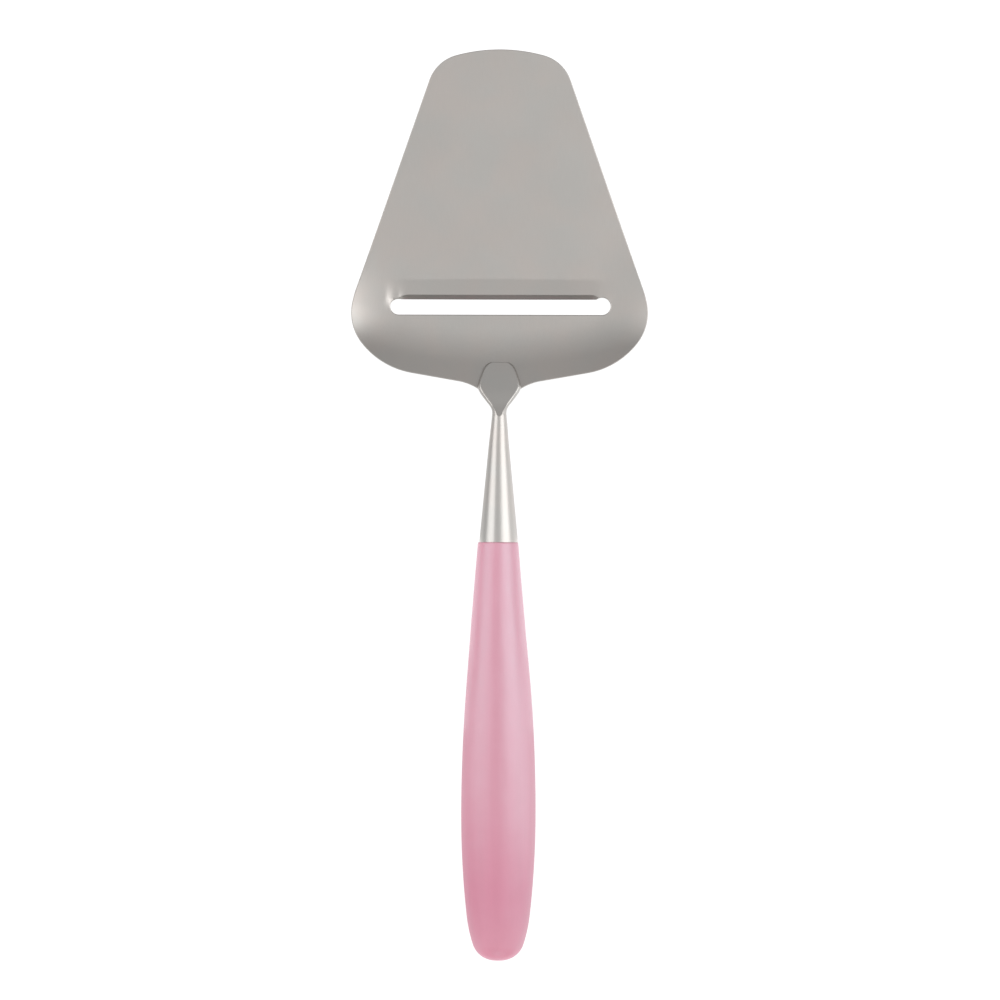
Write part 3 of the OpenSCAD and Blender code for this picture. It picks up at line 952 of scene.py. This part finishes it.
card("card_below_rim", (0.0, -0.0245, -0.0001), (math.pi, 0.0, 0.0), 0.1, 0.031, 0.62)
card("card_below_belly", (0.0, -0.050, -0.0001), (math.pi, 0.0, 0.0), 0.1, 0.020, 0.38)
card("card_right", (0.05, -0.069, 0.0175), (0.0, math.pi / 2, 0.0), 0.03, 0.062, 0.48)
card("card_left", (-0.05, -0.060, 0.020), (0.0, -math.pi / 2, 0.0), 0.024, 0.036, 0.35)

world = bpy.data.worlds.new("studio")
bpy.context.scene.world = world
world.use_nodes = True
wt = world.node_tree
bg = next(n for n in wt.nodes if n.type == "BACKGROUND")


def wmath(op, a, b=0.0, clamp=False):
    n = wt.nodes.new("ShaderNodeMath")
    n.operation = op
    n.use_clamp = clamp
    for i, v in enumerate((a, b)):
        if isinstance(v, (int, float)):
            n.inputs[i].default_value = v
        else:
            wt.links.new(v, n.inputs[i])
    return n.outputs[0]


def wramp(fac, stops):
    n = wt.nodes.new("ShaderNodeValToRGB")
    cr = n.color_ramp
    while len(cr.elements) < len(stops):
        cr.elements.new(0.5)
    for e, (p, v) in zip(cr.elements, stops):
        e.position = p
        e.color = (v, v, v, 1.0)
    cr.interpolation = "LINEAR"
    wt.links.new(fac, n.inputs[0])
    return n.outputs[0]


# the ceiling's light: brightest overhead, falling off towards tip and butt
tc = wt.nodes.new("ShaderNodeTexCoord")
sep = wt.nodes.new("ShaderNodeSeparateXYZ")
wt.links.new(tc.outputs["Generated"], sep.inputs[0])
dx, dy, dz = sep.outputs[0], sep.outputs[1], sep.outputs[2]
up = wmath("MAXIMUM", dz, 0.0)
flat2 = wmath("ADD", wmath("MULTIPLY", dx, dx), wmath("MULTIPLY", dy, dy))
length = wmath("SQRT", wmath("ADD", flat2, wmath("MULTIPLY", up, up)))
lean = wmath("DIVIDE", dy, wmath("MAXIMUM", length, 0.001))
lean = wmath("MULTIPLY_ADD", lean, 0.5)
lean.node.inputs[2].default_value = 0.5
vert = wramp(lean, [(0.0, 0.19), (0.07, 0.35), (0.15, 0.66), (0.235, 0.79), (0.335, 0.60), (0.40, 0.65),
                    (0.46, 0.755), (0.5, 0.79), (0.565, 0.775), (0.585, 0.745), (0.62, 0.69), (0.708, 0.57), (0.82, 0.478),
                    (0.854, 0.43), (1.0, 0.22)])
across = wmath("MULTIPLY_ADD", dx, 0.5)
across.node.inputs[2].default_value = 0.5
side = wramp(across, [(0.0, 0.77), (0.04, 0.84), (0.125, 1.0), (0.875, 1.03), (0.96, 1.22), (1.0, 1.33)])


def wmix(fac, a, b, mode="MIX"):
    n = wt.nodes.new("ShaderNodeMix")
    n.data_type = "RGBA"
    n.blend_type = mode
    for i, v in ((0, fac), (6, a), (7, b)):
        if isinstance(v, (int, float, tuple)):
            n.inputs[i].default_value = v
        else:
            wt.links.new(v, n.inputs[i])
    return n.outputs[2]


sky = wmix(1.0, vert, side, "MULTIPLY")
# the pale table below the horizon, for reflections only
below = wmath("MULTIPLY_ADD", dz, -2.2)
below.node.inputs[2].default_value = -0.4
below.node.use_clamp = True
table = wramp(across, [(0.0, 0.82), (0.3, 0.9), (0.5, 1.0), (0.75, 1.05), (0.91, 1.2), (1.0, 1.3)])
wt.links.new(wmix(below, sky, table), bg.inputs["Color"])
bg.inputs["Strength"].default_value = 1.0

cam_data = bpy.data.cameras.new("camera")
cam = bpy.data.objects.new("camera", cam_data)
bpy.context.scene.collection.objects.link(cam)
cam_data.sensor_fit = "HORIZONTAL"
cam_data.sensor_width = 36.0
cam_data.clip_start, cam_data.clip_end = 0.01, 50.0
cam.location = (0.000239, 0.000835, 1.0)
cam_data.lens = 36.0 * (1.0 - 0.0025) / 0.2651
cam.rotation_euler = (0.0, 0.0, math.radians(0.13))
bpy.context.scene.camera = cam

vs = bpy.context.scene.view_settings
vs.view_transform = "Standard"
vs.look = "None"
vs.exposure = 0.0
vs.gamma = 1.0

bpy.context.view_layer.update()
